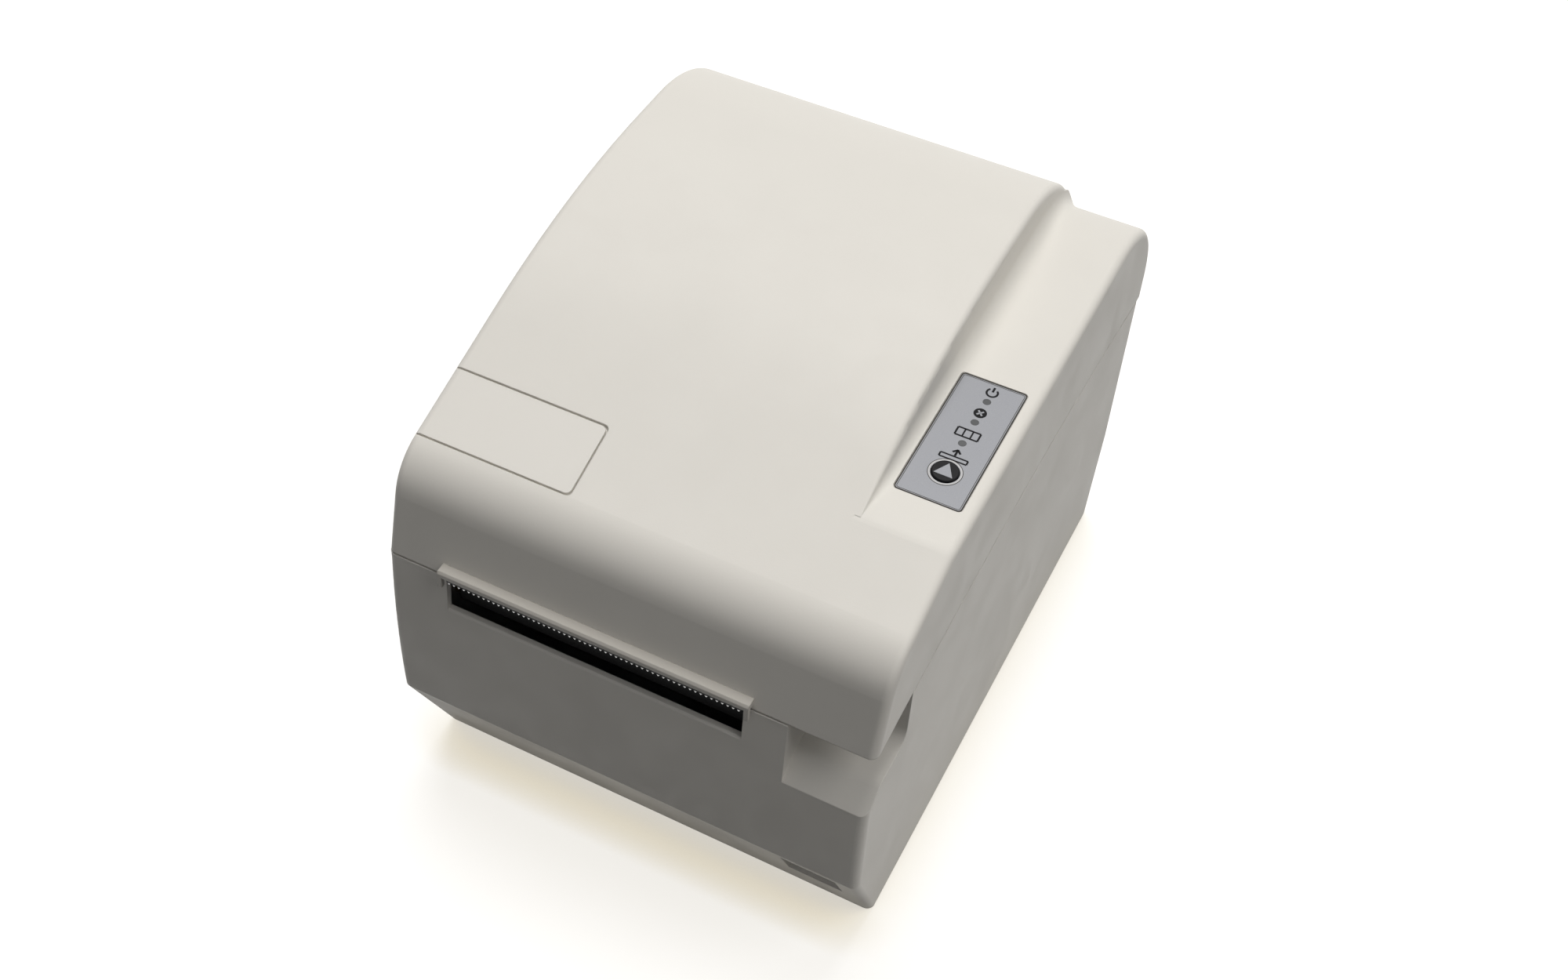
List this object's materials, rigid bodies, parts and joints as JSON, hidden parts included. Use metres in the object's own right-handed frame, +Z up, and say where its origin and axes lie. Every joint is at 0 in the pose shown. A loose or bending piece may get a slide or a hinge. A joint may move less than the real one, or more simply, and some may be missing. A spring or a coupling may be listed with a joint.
{
  "type": "label printer",
  "caption": "Desktop label printer with a lid hinged at the rear, a front paper slot with tear edge, a key panel, a roll bay with sliding guides and a geared rubber platen.",
  "frame": {"origin": "on the ground under the middle of the printer's bounding box", "axes": "+Z up, +Y towards the hinged rear, +X to the right seen from the front"},
  "size_m": [0.178, 0.249, 0.1895],
  "materials": {
    "case_plastic": "satin",
    "plate_plastic": "satin",
    "tear_plastic": "satin",
    "overlay": "satin",
    "light_pipe": "gloss",
    "button_black": "satin",
    "frame_plastic": "matte",
    "gear_plastic": "satin",
    "black_plastic": "satin",
    "rubber": "matte",
    "steel": "satin",
    "motor_can": "satin",
    "brass": "satin",
    "aluminium": "satin",
    "ceramic": "gloss",
    "circuit_board": "gloss"
  },
  "bodies": {
    "base": {"lower_case": "case_plastic", "base_plate": "frame_plastic", "rubber_feet": "rubber", "case_screws": "steel", "media_bay": "frame_plastic", "bay_screws": "steel", "pinion_clip": "frame_plastic", "feed_frame": "steel", "frame_screws": "steel", "platen_bushings": "brass", "idler_axle": "steel", "feed_motor": "motor_can", "motor_screws": "steel", "latch_clips": "frame_plastic", "cover_sensor": "frame_plastic", "hinge_pins": "steel", "main_board": "circuit_board", "board_screws": "steel", "board_chips": "black_plastic", "board_capacitors": "aluminium", "port_panel": "steel", "switch_body": "black_plastic", "dc_inlet": "black_plastic", "serial_socket": "steel", "usb_socket": "steel"},
    "cover": {"top_cover": "case_plastic", "name_plate": "plate_plastic", "control_overlay": "overlay", "paper_light": "light_pipe", "error_light": "light_pipe", "power_light": "light_pipe", "panel_board": "circuit_board", "feed_switch": "black_plastic", "tear_guard": "tear_plastic", "tear_blade": "steel", "head_carrier": "frame_plastic", "carrier_screws": "steel", "head_pivot_pin": "steel", "latch_studs": "steel", "cover_flag": "frame_plastic", "head_springs": "steel"},
    "print_head": {"head_bracket": "steel", "head_heatsink": "aluminium", "thermal_element": "ceramic", "head_connector": "black_plastic"},
    "button": {"feed_button": "button_black"},
    "platen": {"platen_shaft": "steel", "platen_rubber": "rubber", "platen_gear": "gear_plastic"},
    "idler": {"idler_gear": "gear_plastic"},
    "motor_rotor": {"motor_shaft": "steel", "motor_pinion": "brass"},
    "left_guide": {"left_roll_guide": "frame_plastic", "left_guide_rack": "frame_plastic"},
    "right_guide": {"right_roll_guide": "frame_plastic", "right_guide_rack": "frame_plastic"},
    "guide_gear": {"guide_pinion": "frame_plastic"},
    "label_sensor": {"paper_sensor": "frame_plastic"},
    "rocker": {"power_rocker": "black_plastic"}
  },
  "joints": [
    {"name": "cover_hinge", "type": "hinge", "parent": "base", "child": "cover", "pos_m": [0, 0.1195, 0.116], "axis": [-1, 0, 0], "range_deg": [0, 95]},
    {"name": "head_pivot", "type": "hinge", "parent": "cover", "child": "print_head", "pos_m": [0, -0.0775, 0.124], "axis": [-1, 0, 0], "range_deg": [0, 2.5], "stiffness_Nm_per_rad": 0.6, "springref_deg": -17.19, "deforming": ["head_springs"]},
    {"name": "feed_button_press", "type": "slide", "parent": "cover", "child": "button", "axis": [0, 0.035, -0.9994], "range_m": [0, 0.0008], "stiffness_N_per_m": 800, "springref_m": -0.0006},
    {"name": "platen_spin", "type": "hinge", "parent": "base", "child": "platen", "pos_m": [0, -0.1055, 0.1032], "axis": [1, 0, 0], "continuous": true},
    {"name": "idler_spin", "type": "hinge", "parent": "base", "child": "idler", "pos_m": [0.0525, -0.10087, 0.08581], "axis": [1, 0, 0], "continuous": true},
    {"name": "motor_spin", "type": "hinge", "parent": "base", "child": "motor_rotor", "pos_m": [0.0545, -0.0835, 0.074], "axis": [1, 0, 0], "continuous": true},
    {"name": "left_guide_slide", "type": "slide", "parent": "base", "child": "left_guide", "axis": [1, 0, 0], "range_m": [0, 0.0425]},
    {"name": "right_guide_slide", "type": "slide", "parent": "base", "child": "right_guide", "axis": [1, 0, 0], "range_m": [-0.0425, 0]},
    {"name": "guide_pinion_spin", "type": "hinge", "parent": "base", "child": "guide_gear", "pos_m": [-0.011, 0.0065, 0.0335], "axis": [0, 0, 1], "range_deg": [0, 410]},
    {"name": "sensor_slide", "type": "slide", "parent": "base", "child": "label_sensor", "axis": [1, 0, 0], "range_m": [-0.04, 0.04]},
    {"name": "power_rocker_tilt", "type": "hinge", "parent": "base", "child": "rocker", "pos_m": [-0.046, 0.1135, 0.031], "axis": [1, 0, 0], "range_deg": [0, 16]}
  ],
  "couplings": [
    {"joint": "idler_spin", "follows": "platen_spin", "ratio": -1.5714},
    {"joint": "motor_spin", "follows": "platen_spin", "ratio": 3.9286},
    {"joint": "right_guide_slide", "follows": "left_guide_slide", "ratio": -1},
    {"joint": "guide_pinion_spin", "follows": "left_guide_slide", "rad_per_m": 166.67}
  ]
}
